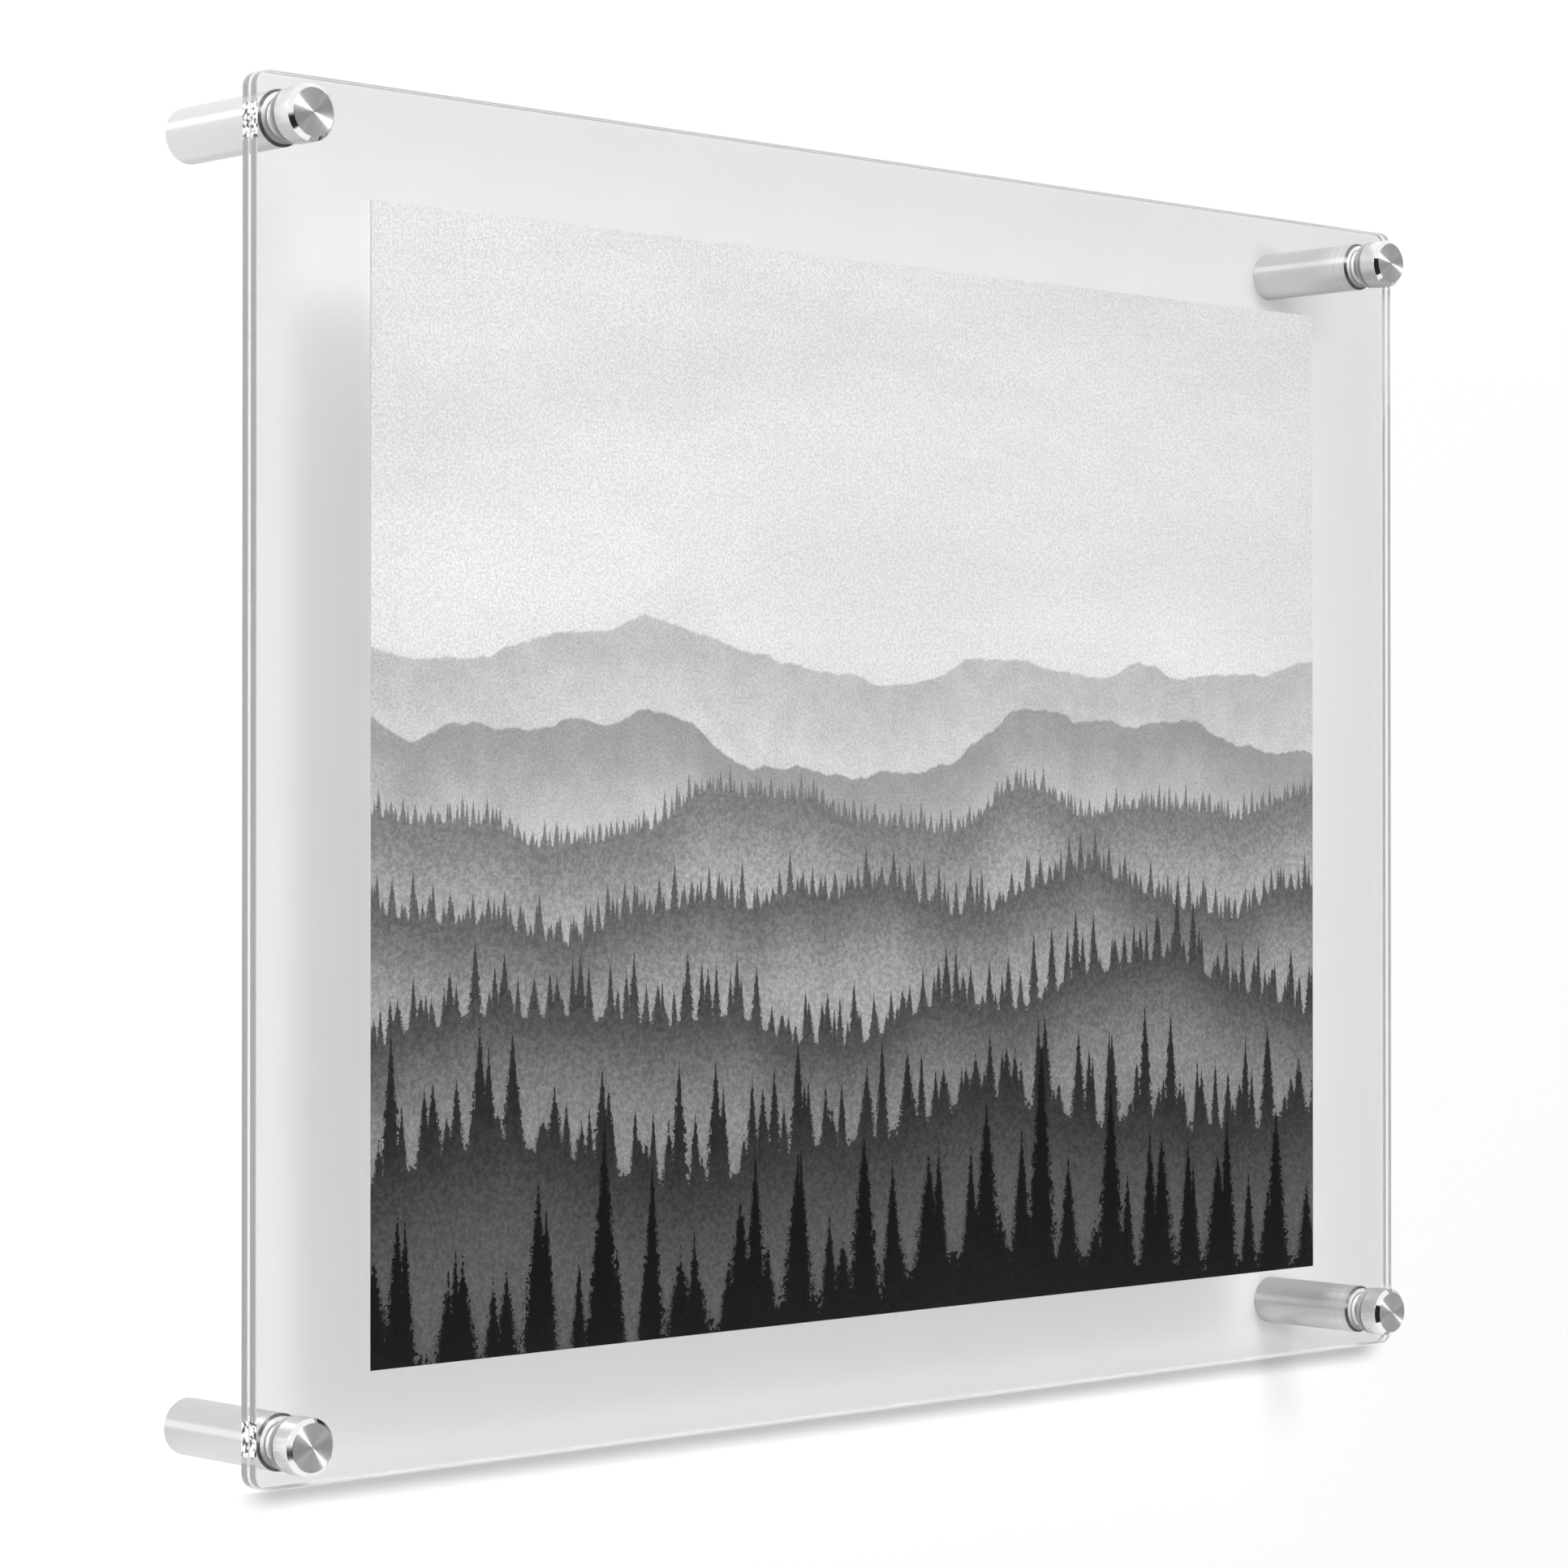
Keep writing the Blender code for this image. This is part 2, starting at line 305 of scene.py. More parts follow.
grain = coat.add("TexNoise", {"Vector": wall_place, "Scale": WALL_GRAIN, "Detail": 2.0})
seen = view_share(coat)
open_wall = coat.ramp(wall_x, OPEN_WALL_X + SHADE_SOFT, OPEN_WALL_X - SHADE_SOFT)
view_paint = coat.darker(WALL_VIEW_PAINT, open_wall, 1.0)
view_glow = coat.math("MULTIPLY_ADD", open_wall, OPEN_WALL_GLOW - WALL_GLOW, WALL_GLOW)
near_top = coat.ramp(wall_z, TOP_START, TOP_FULL)
view_glow = coat.math("MULTIPLY_ADD", near_top, TOP_GLOW, view_glow)
wall_tone = coat.mix(seen, WALL_PAINT, view_paint)
wall_tone = coat.times(wall_tone, bright, coat.spread(grain, 0.99, 1.0))
paint = coat.add("BsdfDiffuse", {"Color": coat.grey(wall_tone)})
glow = coat.add("Emission", {"Strength": coat.times(seen, bright, view_glow)})
front_side = coat.add("AddShader", {0: paint, 1: glow})
behind = coat.add("NewGeometry", output="Backfacing")
open_side = coat.add("BsdfTransparent")
wall_shader = coat.add("MixShader", {0: behind, 1: front_side, 2: open_side})

wall_corners = WALL_HALF * np.array([(-1, 0, -1), (1, 0, -1), (1, 0, 1), (-1, 0, 1)])
wall_mesh = bpy.data.meshes.new("wall")
wall_mesh.from_pydata(wall_corners, [], [(0, 1, 2, 3)])
wall_mesh.materials.append(coat.surface(wall_shader))
wall = bpy.data.objects.new("wall", wall_mesh)
scene.collection.objects.link(wall)
wall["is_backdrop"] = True
print("wall faces", tuple(wall_mesh.polygons[0].normal))

# %% [markdown]
# The room is the world itself: pure white where the view sees it, and dimmer as a light. What a flat
# clear sheet mirrors is nearly black, because a bright mirror image would wash out the print behind it.

# %% room
ROOM_GLOW = 0.424
SHEET_DARK = 0.97
WHITE = (1.0, 1.0, 1.0, 1.0)

world = bpy.data.worlds.new("white_room")
scene.world = world
world.use_nodes = True
room = Finish("white_room", world.node_tree)
mirrored = room.math("MINIMUM", room.path("Glossy Depth"), 1.0)
mirrored = room.times(mirrored, room.path("Is Singular Ray"))
room_level = room.mix(view_share(room), ROOM_GLOW, room.darker(1.0, mirrored, SHEET_DARK))
room.add_output("OutputWorld", room.add("Background", {"Color": WHITE, "Strength": room_level}))
print("room glow", ROOM_GLOW)

# %% [markdown]
# One soft lamp hangs in front of the wall, above and a little to the left. Its size makes the shadow
# edge soft, and its height sets how far the shadow drops below the print.

# %% lamp
LAMP_TOWARDS = Vector((-0.08, -0.86, 0.50)).normalized()
LAMP_DISTANCE = 1.7
LAMP_SIZE = 0.45
LAMP_WATTS = 12.0

lamp_data = bpy.data.lights.new("soft_lamp", "AREA")
lamp_data.shape = "DISK"
lamp_data.size = LAMP_SIZE
lamp_data.energy = LAMP_WATTS
lamp = bpy.data.objects.new("soft_lamp", lamp_data)
lamp.location = LAMP_TOWARDS * LAMP_DISTANCE
lamp.rotation_euler = LAMP_TOWARDS.to_track_quat("Z", "Y").to_euler()
scene.collection.objects.link(lamp)
print("lamp at", [round(value, 2) for value in lamp.location])

# %% [markdown]
# Metal needs bright and dark things to mirror. A screen stands round the front like half a globe. On the
# camera's side it is white with a dark oval, which draws the black crescents on the chamfers, and on the
# far side it is grey. Only reflections see it, and the flat clear sheets see it black.

# %% screen
SCREEN_RADIUS = 2.4
SCREEN_LOW = radians(-60)
SCREEN_HIGH = radians(45)
SCREEN_COLUMNS = 49
SCREEN_ROWS = 17
SCREEN_DARK = 0.02
SCREEN_GREY = 0.42
GREY_START = -0.3
GREY_FULL = 0.9
WHITE_START = 0.5
WHITE_FULL = -0.1
OVAL_X = -1.0
OVAL_Z = -0.35
OVAL_HALF_X = 1.0
OVAL_HALF_Z = 1.35
OVAL_INNER = 0.8
OVAL_OUTER = 1.05


def reflection_card(name, points, faces, material):
    """A stage surface that only reflections see."""
    mesh = bpy.data.meshes.new(name)
    mesh.from_pydata(points, [], faces)
    mesh.materials.append(material)
    card = bpy.data.objects.new(name, mesh)
    scene.collection.objects.link(card)
    card.visible_camera = False
    card.visible_diffuse = False
    card.visible_transmission = False
    card.visible_shadow = False
    card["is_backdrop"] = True


screen_round = np.linspace(-pi / 2, pi / 2, SCREEN_COLUMNS)
screen_up = np.linspace(SCREEN_LOW, SCREEN_HIGH, SCREEN_ROWS)
up_grid, round_grid = np.meshgrid(screen_up, screen_round, indexing="ij")
sideways = np.sin(round_grid) * np.cos(up_grid)
outward = -np.cos(round_grid) * np.cos(up_grid)
screen_points = SCREEN_RADIUS * np.stack((sideways, outward, np.sin(up_grid)), axis=-1)
first = (np.arange(SCREEN_ROWS - 1)[:, None] * SCREEN_COLUMNS + np.arange(SCREEN_COLUMNS - 1)).ravel()
screen_faces = np.stack((first, first + 1, first + SCREEN_COLUMNS + 1, first + SCREEN_COLUMNS), axis=-1)

cloth = Finish("screen_cloth")
cloth_place = cloth.place()
cloth_x = cloth.axis(cloth_place, "X")
cloth_z = cloth.axis(cloth_place, "Z")
dark_to_grey = cloth.ramp(cloth_x, GREY_START, GREY_FULL, SCREEN_DARK, SCREEN_GREY)
across = cloth.math("DIVIDE", cloth.math("SUBTRACT", cloth_x, OVAL_X), OVAL_HALF_X)
upward = cloth.math("DIVIDE", cloth.math("SUBTRACT", cloth_z, OVAL_Z), OVAL_HALF_Z)
oval = cloth.math("ADD", cloth.math("POWER", across, 2.0), cloth.math("POWER", upward, 2.0))
outside_oval = cloth.ramp(oval, OVAL_INNER, OVAL_OUTER)
lit = cloth.times(outside_oval, cloth.ramp(cloth_x, WHITE_START, WHITE_FULL))
for_metal = cloth.math("SUBTRACT", 1.0, cloth.path("Is Singular Ray"))
cloth_tone = cloth.times(cloth.mix(lit, dark_to_grey, 1.0), for_metal)
screen_cloth = cloth.surface(cloth.add("Emission", {"Strength": cloth_tone}))
reflection_card("screen", screen_points.reshape(-1, 3), screen_faces.tolist(), screen_cloth)
print("screen faces", len(screen_faces))

# %% [markdown]
# A bright strip hangs by the wall on the left. The barrels mirror it as the long highlight that makes
# them read as round.

# %% strip
STRIP_MIDDLE = np.array((-0.83, -0.22, 0.30))
STRIP_ALONG = np.array((0.0, 0.20, 0.0))
STRIP_UP = np.array((0.02, 0.0, 0.055))
STRIP_STRENGTH = 6.0

strip_finish = Finish("strip_cloth")
strip_cloth = strip_finish.surface(strip_finish.add("Emission", {"Strength": STRIP_STRENGTH}))
strip_sides = np.array([(-1, -1), (1, -1), (1, 1), (-1, 1)])
strip_points = STRIP_MIDDLE + strip_sides[:, :1] * STRIP_ALONG + strip_sides[:, 1:] * STRIP_UP
reflection_card("strip", strip_points, [(0, 1, 2, 3)], strip_cloth)
print("strip of strength", STRIP_STRENGTH)

# %% [markdown]
# Every turned part is the same idea: a profile, which is a list of radius and depth pairs, swung round
# an axis. Real edges are never knife sharp, so each corner of a profile is first eased into a short
# curve. Two extra points beside each curve keep the flats flat when Blender smooths the shading.

# %% profiles
EASE_STEPS = 4
EASE_SHARE = 0.4
HOLD_SHARE = 0.2


def eased(corners, ease, tags):
    """Profile with each inner corner turned into a parabola that starts and ends at distance ease from it.

    corners is a list of (radius, depth) in millimetres. tags has one finish number per straight stretch.
    Gives the points in metres and one finish number per row of faces.
    """
    corners = np.array(corners, float)
    points = [corners[0]]
    row_tags = []
    for number in range(1, len(corners) - 1):
        before, here, after = corners[number - 1 : number + 2]
        to_before = before - here
        to_after = after - here
        reach_before = min(ease, EASE_SHARE * np.linalg.norm(to_before))
        reach_after = min(ease, EASE_SHARE * np.linalg.norm(to_after))
        start = here + to_before / np.linalg.norm(to_before) * reach_before
        end = here + to_after / np.linalg.norm(to_after) * reach_after
        hold_before = start + (start - here) * HOLD_SHARE
        hold_after = end + (end - here) * HOLD_SHARE
        t = np.linspace(0, 1, EASE_STEPS + 1)[:, None]
        curve = (1 - t) ** 2 * start + 2 * t * (1 - t) * here + t**2 * end
        points += [hold_before, *curve, hold_after]
        half = EASE_STEPS // 2
        row_tags += [tags[number - 1]] * (2 + half) + [tags[number]] * (EASE_STEPS - half + 1)
    points.append(corners[-1])
    row_tags.append(tags[-1])
    return np.array(points) * MM, np.array(row_tags)


print("each corner of a profile is eased in", EASE_STEPS, "steps")

# %% [markdown]
# The next cell turns grids of points into Blender objects. Points that coincide, at a pole or a seam,
# are merged, and the face directions are then made consistent. Each turned surface carries its own UV
# map with u running once round the axis, because the brushed look of turned metal needs to know which
# way the tool ran.

# %% from grids to objects
ROUND_STEPS = 96
WELD = 1e-7


def make_piece(name, points, faces, finishes, face_tags, smooth, uv=None):
    """Object from points, polygons, finishes, and one finish number and one smooth flag per polygon."""
    mesh = bpy.data.meshes.new(name)
    mesh.from_pydata(np.asarray(points).reshape(-1, 3), [], faces)
    for finish in finishes:
        mesh.materials.append(finish)
    mesh.polygons.foreach_set("material_index", np.asarray(face_tags, np.int32))
    mesh.polygons.foreach_set("use_smooth", np.asarray(smooth, bool))
    if uv is not None:
        layer = mesh.uv_layers.new(name="turning")
        layer.data.foreach_set("uv", np.asarray(uv, np.float32).ravel())
    work = bmesh.new()
    work.from_mesh(mesh)
    bmesh.ops.remove_doubles(work, verts=work.verts, dist=WELD)
    bmesh.ops.dissolve_degenerate(work, edges=work.edges, dist=WELD)
    bmesh.ops.recalc_face_normals(work, faces=work.faces)
    open_edges = sum(not edge.is_manifold for edge in work.edges)
    work.to_mesh(mesh)
    work.free()
    piece = bpy.data.objects.new(name, mesh)
    scene.collection.objects.link(piece)
    if open_edges:
        print("open edges in", name, open_edges)
    return piece


def band(start, count, levels, ring=False):
    """Quads between the levels of a closed outline whose points begin at number start.

    A ring also joins the last level to the first.
    """
    row = np.arange(levels if ring else levels - 1)[:, None]
    here = row * count
    beyond = (row + 1) % levels * count
    column = np.arange(count)
    following = (column + 1) % count
    grid = np.stack((here + column, here + following, beyond + following, beyond + column), axis=-1)
    return (grid.reshape(-1, 4) + start).tolist()


def turned(name, radius, depth, centre, finishes, row_tags, ring=False):
    """Point (i, j) is profile point i, swung to angle 2 pi j / steps about the axis through centre along Y.

    radius and depth are one column per profile, or full grids where a thread makes them vary with the angle.
    A ring closes the profile on itself, and any other profile begins and ends on the axis.
    """
    angle = np.arange(ROUND_STEPS) * 2 * pi / ROUND_STEPS
    radius = np.reshape(radius, (len(radius), -1)) * np.ones(ROUND_STEPS)
    depth = np.reshape(depth, (len(depth), -1)) * np.ones(ROUND_STEPS)
    across = centre[0] + radius * np.cos(angle)
    up = centre[1] + radius * np.sin(angle)
    points = np.stack((across, depth, up), axis=-1)
    quads = band(0, ROUND_STEPS, len(radius), ring)
    rows = len(quads) // ROUND_STEPS
    radius_step = np.diff(radius[:, 0], append=radius[:1, 0])
    depth_step = np.diff(depth[:, 0], append=depth[:1, 0])
    along = np.concatenate(([0.0], np.cumsum(np.hypot(radius_step, depth_step))))
    u_low = np.broadcast_to(np.arange(ROUND_STEPS) / ROUND_STEPS, (rows, ROUND_STEPS))
    u_high = u_low + 1 / ROUND_STEPS
    v_low = np.broadcast_to(along[:rows, None], u_low.shape)
    v_high = np.broadcast_to(along[1 : rows + 1, None], u_low.shape)
    uv = np.stack((u_low, v_low, u_high, v_low, u_high, v_high, u_low, v_high), axis=-1)
    face_tags = np.repeat(row_tags, ROUND_STEPS)
    return make_piece(name, points, quads, finishes, face_tags, [True] * len(quads), uv)


def fit_in(piece, body, node):
    """The piece takes the CAD node's place and moves with its body."""
    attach(piece, body)
    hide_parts(node)


print("turned pieces have", ROUND_STEPS, "steps round")

# %% [markdown]
# Clear acrylic is glass with a lower index and almost no colour. Light paths that carry lamp light to
# the wall may pass straight through, because sharp bright spots behind flat sheets would be noise and
# not beauty.

# %% acrylic face
ACRYLIC_INDEX = 1.49
CLEAR_SHARE = 0.95
FACE_HAZE = 46.0

face_finish = Finish("acrylic_face")
face_sockets = {
    "Base Color": face_finish.grey(face_finish.spread(face_finish.noise(FACE_HAZE), 0.955, 0.961)),
    "Roughness": 0.0,
    "IOR": ACRYLIC_INDEX,
    "Transmission Weight": 1.0,
}
face_glass = face_finish.add("BsdfPrincipled", face_sockets)
acrylic_face = face_finish.surface(face_finish.let_light_by(face_glass, CLEAR_SHARE))
print("acrylic face ready, index", ACRYLIC_INDEX)

# %% [markdown]
# Cut edges are a little frosted by the saw and polish, so they look grey where the faces look clear, and
# a faint painted glow stands in for the light that the sheet gathers. The level edges and the drilled
# holes get more of this painted glow. Beside each stud the edge gets painted dark and light flecks, a
# painted image of its thread.

# %% acrylic edges
EDGE_CLEAR = 0.35
EDGE_PAINTED_GLOW = 0.07
HOLE_CLEAR = 0.85
HOLE_PAINTED_GLOW = 0.25
LEVEL_PAINTED_GLOW = 0.12
LEVEL_START = 0.11945
LEVEL_FULL = 0.12005
SAW_MARKS = 5000.0
CUT_SHARE = 0.6
FLECK_HEIGHT = 0.1118
FLECK_REACH = 0.0034
FLECK_INNER = 0.8
FLECK_SIZE = 1400.0
FLECK_START = 0.38
FLECK_END = 0.52
FLECK_PAINTED_DARK = 0.05
FLECK_PAINTED_GLOW = 0.5


def cut_acrylic(name, clear, glow, flecked):
    """Sawn acrylic: part clear, part white with fine saw marks, and a painted glow as if lit from within."""
    cut = Finish(name)
    saw = cut.noise(SAW_MARKS, 3.0)
    tone = cut.spread(saw, 0.84, 0.92, 0.25)
    # painted glow: emission standing in for the light that the sheet gathers
    level = glow
    if flecked:
        # painted flecks near each stud: a painted image of its thread, dark and light
        place = cut.place()
        height = cut.math("ABSOLUTE", cut.axis(place, "Z"))
        away = cut.math("ABSOLUTE", cut.math("SUBTRACT", height, FLECK_HEIGHT))
        near = cut.ramp(away, FLECK_REACH, FLECK_REACH * FLECK_INNER)
        flecks = cut.add("TexNoise", {"Vector": place, "Scale": FLECK_SIZE, "Detail": 1.0})
        light = cut.ramp(flecks, FLECK_START, FLECK_END, FLECK_PAINTED_DARK, 1.0)
        tone = cut.mix(near, tone, light)
        level = cut.mix(near, glow, cut.times(light, FLECK_PAINTED_GLOW))
        level = cut.mix(cut.ramp(height, LEVEL_START, LEVEL_FULL), level, LEVEL_PAINTED_GLOW)
    sockets = {
        "Base Color": cut.grey(tone),
        "Roughness": cut.spread(saw, 0.04, 0.08),
        "IOR": ACRYLIC_INDEX,
        "Transmission Weight": clear,
        "Emission Color": WHITE,
        "Emission Strength": level,
    }
    return cut.surface(cut.let_light_by(cut.add("BsdfPrincipled", sockets), CUT_SHARE))


acrylic_edge = cut_acrylic("acrylic_edge", EDGE_CLEAR, EDGE_PAINTED_GLOW, True)
acrylic_hole = cut_acrylic("acrylic_hole", HOLE_CLEAR, HOLE_PAINTED_GLOW, False)
print("cut acrylic ready, flecks", round(2 * FLECK_REACH / MM, 1), "mm high")

# %% [markdown]
# Each sheet has rounded corners, a small polished bevel on every arris and four drilled holes. One
# profile makes both the outside edge and the hole walls: it starts on the front face, rounds over, runs
# through the thickness and rounds over again. The outlines below are swept along it.

# %% outlines of a sheet
SHEET_RADIUS = 3.0 * MM
SHEET_ARRIS = 0.22 * MM
HOLE_RADIUS = 3.4 * MM
CORNER_ARC_STEPS = 14
HOLE_STEPS = 64
ARRIS_STEPS = 6


def sheet_outline(half_width, half_height, inset):
    """Rounded rectangle: each corner's centre plus radius - inset along each direction of a quarter turn."""
    quarter = np.linspace(0, pi / 2, CORNER_ARC_STEPS + 1)
    turns = np.concatenate([quarter + k * pi / 2 for k in range(4)])
    across = np.repeat([1, -1, -1, 1], CORNER_ARC_STEPS + 1)
    up = np.repeat([1, 1, -1, -1], CORNER_ARC_STEPS + 1)
    reach = SHEET_RADIUS - inset
    x = across * (half_width - SHEET_RADIUS) + reach * np.cos(turns)
    z = up * (half_height - SHEET_RADIUS) + reach * np.sin(turns)
    return np.stack((x, z), axis=-1)


def hole_outline(centre, opening):
    """Circle of the hole's radius plus the bevel's opening."""
    turns = np.arange(HOLE_STEPS) * 2 * pi / HOLE_STEPS
    reach = HOLE_RADIUS + opening
    return np.stack((centre[0] + reach * np.cos(turns), centre[1] + reach * np.sin(turns)), axis=-1)


print("a corner has", CORNER_ARC_STEPS, "steps and a hole", HOLE_STEPS)

# %% [markdown]
# The flat faces between the outline and the holes are filled by Blender's own tessellator. The CAD keeps
# a small gap beside the print, and the sheets close half of it here, so the print looks clamped.

# %% acrylic sheets
PRINT_CLOSE = 0.15 * MM
FACE, EDGE, HOLE = 0, 1, 2


def clear_sheet(name, node, grow_front, grow_rear):
    """The CAD sheet with eased edges. Each face may come forward a little to close the gap to the print."""
    low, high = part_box(node)
    half_width = (high.x - low.x) / 2
    half_height = (high.z - low.z) / 2
    turn = np.linspace(0, pi / 2, ARRIS_STEPS)
    inset = SHEET_ARRIS * np.concatenate((1 - np.sin(turn), (1 - np.sin(turn))[::-1]))
    depth_front = low.y - grow_front + SHEET_ARRIS * (1 - np.cos(turn))
    depth_rear = high.y + grow_rear - SHEET_ARRIS * (1 - np.cos(turn))[::-1]
    depth = np.concatenate((depth_front, depth_rear))
    levels = len(inset)
    loops = [[sheet_outline(half_width, half_height, value) for value in inset]]
    loops += [[hole_outline(axis_of(corner), value) for value in inset] for corner in CORNERS]
    points, faces, tags, smooth, front, rear, start = [], [], [], [], [], [], 0
    for outlines in loops:
        count = len(outlines[0])
        for outline, level in zip(outlines, depth):
            points.append(np.stack((outline[:, 0], np.full(count, level), outline[:, 1]), axis=-1))
        quads = band(start, count, levels)
        faces += quads
        tags += [HOLE if tags else EDGE] * len(quads)
        smooth += [True] * len(quads)
        front += range(start, start + count)
        rear += range(start + (levels - 1) * count, start + levels * count)
        start += levels * count
    flat_loops = [[Vector((x, z, 0)) for x, z in outlines[0]] for outlines in loops]
    triangles = tessellate_polygon(flat_loops)
    faces += [[front[i] for i in triangle] for triangle in triangles]
    faces += [[rear[i] for i in triangle] for triangle in triangles]
    tags += [FACE] * (2 * len(triangles))
    smooth += [False] * (2 * len(triangles))
    finishes = [acrylic_face, acrylic_edge, acrylic_hole]
    return make_piece(name, np.concatenate(points), faces, finishes, tags, smooth)


sheet_front = clear_sheet("clear_sheet_front", "front_panel", 0.0, PRINT_CLOSE)
fit_in(sheet_front, "front_panel", "front_panel")
sheet_rear = clear_sheet("clear_sheet_rear", "rear_panel", PRINT_CLOSE, 0.0)
fit_in(sheet_rear, "wall_frame", "rear_panel")
print("each sheet has", len(sheet_front.data.polygons), "faces")

# %% [markdown]
# The print is a made-up landscape of misty, wooded hills in grey tones, drawn by nodes alone. Its
# pattern reads the paper's own coordinates, scaled so that u runs across and v runs up from 0 to 1.
# Hills are slow lines of noise. A bare ridge is dark along its crest and fades into mist below it.

# %% print: ridges
art = Finish("printed_landscape")
paper_low, paper_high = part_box("art_print")
place = art.place()
u = art.math("SUBTRACT", art.axis(place, "X"), paper_low.x)
u = art.math("DIVIDE", u, paper_high.x - paper_low.x)
v = art.math("SUBTRACT", art.axis(place, "Z"), paper_low.z)
v = art.math("DIVIDE", v, paper_high.z - paper_low.z)
twigs = art.add("TexNoise", {"Vector": place, "Scale": 1100.0, "Detail": 4.0})
slopes = art.add("TexNoise", {"Vector": place, "Scale": 140.0, "Detail": 6.0, "Roughness": 0.7})

CREST_DETAIL = 9.0
LINE_LOW = -0.001
LINE_HIGH = 0.002


def hill_line(base, swing, scale, seed, detail=3.0):
    """A slow line of noise about the height base."""
    line = art.noise_line(art.math("ADD", u, seed), scale, detail)
    return art.math("MULTIPLY_ADD", line, swing, base - swing / 2)


def ridge_layer(tone, base, swing, scale, seed, dark, mist, depth):
    """Lays a bare ridge over tone, dark at its crest and mist-coloured at the given depth below it."""
    below = art.math("SUBTRACT", hill_line(base, swing, scale, seed, CREST_DETAIL), v)
    body = art.times(art.ramp(below, 0.0, depth, dark, mist), art.spread(slopes, 0.92, 1.05, 0.15))
    return art.mix(art.ramp(below, LINE_LOW, LINE_HIGH), tone, body)


print("print of", [round((b - a) / MM, 1) for a, b in zip(paper_low, paper_high)], "mm")

# %% [markdown]
# A wood is a layer whose line carries pointed spruces, one per cell of the width, each with its own
# height and place. White noise on the cell's number gives every tree its chance.

# %% print: spruces
TREE_TIERS = 7.0
TREE_HALF = 0.34
TREE_DROOP = 1.6
TREE_STEP = 0.45
TREE_SHORTEST = 0.25
MIDDLE_LOW = 0.35
MIDDLE_SWING = 0.30
NEEDLES = 0.16
SEED_STRETCH = 31.7
SECOND_CHANCE = 0.41


def spruce_row(line, count, height, seed):
    """How far a point lies inside the spruce of its cell, in cells, with count cells across the print.

    Each tree has its own middle and height. Its half width shrinks from the ground to the tip and also steps
    in and out once per tier, so the sides show drooping branches.
    """
    cell = art.math("MULTIPLY_ADD", u, count, seed * SEED_STRETCH)
    number = art.math("FLOOR", cell)
    chance = art.add("TexWhiteNoise", {"W": number}, noise_dimensions="1D")
    other_number = art.math("ADD", number, SECOND_CHANCE)
    shift = art.add("TexWhiteNoise", {"W": other_number}, noise_dimensions="1D")
    middle = art.math("MULTIPLY_ADD", shift, MIDDLE_SWING, MIDDLE_LOW)
    away = art.math("ABSOLUTE", art.math("SUBTRACT", art.math("FRACT", cell), middle))
    tall = art.math("MULTIPLY_ADD", chance, height * (1 - TREE_SHORTEST), height * TREE_SHORTEST)
    climb = art.math("DIVIDE", art.math("SUBTRACT", v, line), tall)
    tier = art.math("MULTIPLY_ADD", away, TREE_DROOP, art.times(climb, TREE_TIERS))
    branches = art.math("MULTIPLY_ADD", art.math("FRACT", tier), -TREE_STEP, 1.0)
    taper = art.math("MULTIPLY_ADD", art.math("SUBTRACT", 1.0, climb), TREE_HALF, 0.0, clamp=True)
    needles = art.math("MULTIPLY_ADD", twigs, NEEDLES, -NEEDLES / 2)
    return art.math("SUBTRACT", art.times(taper, art.math("ADD", branches, needles)), away)


def wood_layer(tone, base, swing, scale, seed, count, height, dark, mist, depth):
    """Lays a wooded hill over tone, with three rows of spruces on a line that twig noise makes rough."""
    line = hill_line(base, swing, scale, seed)
    line = art.math("ADD", line, art.math("MULTIPLY_ADD", twigs, height * 0.3, height * -0.15))
    trees = spruce_row(line, count, height, seed)
    trees = art.math("MAXIMUM", trees, spruce_row(line, count * 1.37, height * 0.75, seed + 0.53))
    trees = art.math("MAXIMUM", trees, spruce_row(line, count * 1.81, height * 0.55, seed + 0.29))
    below = art.math("SUBTRACT", line, v)
    cover = art.math("MAXIMUM", art.ramp(trees, 0.004, 0.028), art.ramp(below, LINE_LOW, LINE_HIGH))
    fade = art.ramp(below, -0.4 * height, depth, dark, mist)
    return art.mix(cover, tone, art.times(fade, art.spread(twigs, 0.82, 1.18)))


print("each spruce has", int(TREE_TIERS), "tiers")

# %% [markdown]
# The layers are laid from the sky forwards: two ridges, then five woods, each nearer, darker and with
# taller trees than the last. Fine noise over everything is the grain of the film.

# %% print: layers
PRINT_LEVEL = 0.76
FILM_GRAIN = 2100.0

clouds = art.add("Mapping", {"Vector": place, "Scale": (1.0, 1.0, 3.4)})
cloud_noise = art.add("TexNoise", {"Vector": clouds, "Scale": 10.0, "Detail": 5.0, "Roughness": 0.55})
tone = art.math("ADD", art.ramp(v, 0.55, 1.0, 1.0, 0.90), art.ramp(cloud_noise, 0.35, 0.7, -0.06, 0.03))
tone = ridge_layer(tone, base=0.62, swing=0.16, scale=2.6, seed=2.7, dark=0.66, mist=0.90, depth=0.13)
tone = ridge_layer(tone, base=0.55, swing=0.18, scale=3.4, seed=9.4, dark=0.44, mist=0.76, depth=0.12)
hill = dict(base=0.48, swing=0.16, scale=3.1, seed=5.2)
tone = wood_layer(tone, **hill, count=95.0, height=0.030, dark=0.25, mist=0.62, depth=0.12)
hill = dict(base=0.39, swing=0.15, scale=3.8, seed=1.3)
tone = wood_layer(tone, **hill, count=62.0, height=0.050, dark=0.14, mist=0.50, depth=0.11)
hill = dict(base=0.29, swing=0.14, scale=2.9, seed=3.9)
tone = wood_layer(tone, **hill, count=41.0, height=0.080, dark=0.065, mist=0.34, depth=0.11)
hill = dict(base=0.17, swing=0.13, scale=3.3, seed=7.7)
tone = wood_layer(tone, **hill, count=26.0, height=0.130, dark=0.024, mist=0.15, depth=0.13)
hill = dict(base=0.02, swing=0.12, scale=2.3, seed=6.1)
tone = wood_layer(tone, **hill, count=15.0, height=0.230, dark=0.004, mist=0.02, depth=0.16)
